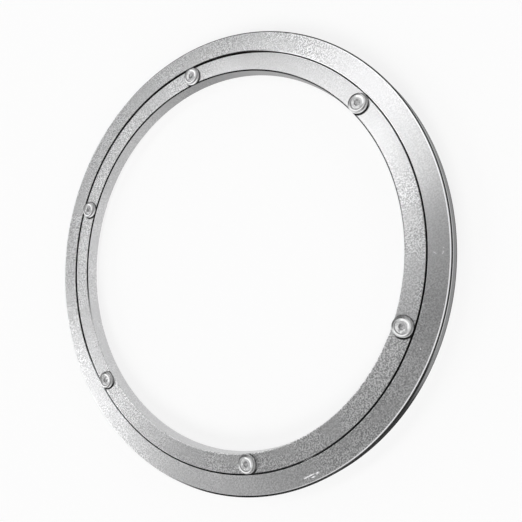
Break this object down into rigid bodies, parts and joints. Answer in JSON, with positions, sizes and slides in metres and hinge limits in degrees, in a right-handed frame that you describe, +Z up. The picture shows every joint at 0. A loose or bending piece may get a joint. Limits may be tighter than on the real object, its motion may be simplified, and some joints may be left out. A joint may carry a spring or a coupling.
{
  "type": "lazy susan bearing",
  "caption": "Flat aluminium turntable ring whose inner ring turns on balls inside its outer ring, with clear bumpers on top and as feet.",
  "frame": {"origin": "on the ring's axis, at the surface that the feet stand on", "axes": "+Z up along the axis the inner ring turns about, +X through the first pad"},
  "size_m": [0.3, 0.3, 0.0147],
  "materials": {
    "ring_aluminium": "fine satin",
    "cage_nylon": "moulded",
    "ball_steel": "polished",
    "clear_bumper": "clear, smooth"
  },
  "bodies": {
    "outer": {"outer_ring": "ring_aluminium", "fill_plug": "ring_aluminium", "foot_1": "clear_bumper", "foot_2": "clear_bumper", "foot_3": "clear_bumper", "foot_4": "clear_bumper", "foot_5": "clear_bumper", "foot_6": "clear_bumper"},
    "inner": {"inner_ring": "ring_aluminium", "pad_1": "clear_bumper", "pad_2": "clear_bumper", "pad_3": "clear_bumper", "pad_4": "clear_bumper", "pad_5": "clear_bumper", "pad_6": "clear_bumper"},
    "cage": {"ball_cage": "cage_nylon", "balls": "ball_steel"}
  },
  "joints": [
    {"name": "inner_turn", "type": "hinge", "parent": "outer", "child": "inner", "pos_m": [0, 0, 0.00735], "axis": [0, 0, 1], "continuous": true},
    {"name": "cage_turn", "type": "hinge", "parent": "outer", "child": "cage", "pos_m": [0, 0, 0.00735], "axis": [0, 0, 1], "continuous": true}
  ],
  "couplings": [
    {"joint": "cage_turn", "follows": "inner_turn", "ratio": 0.49128}
  ]
}
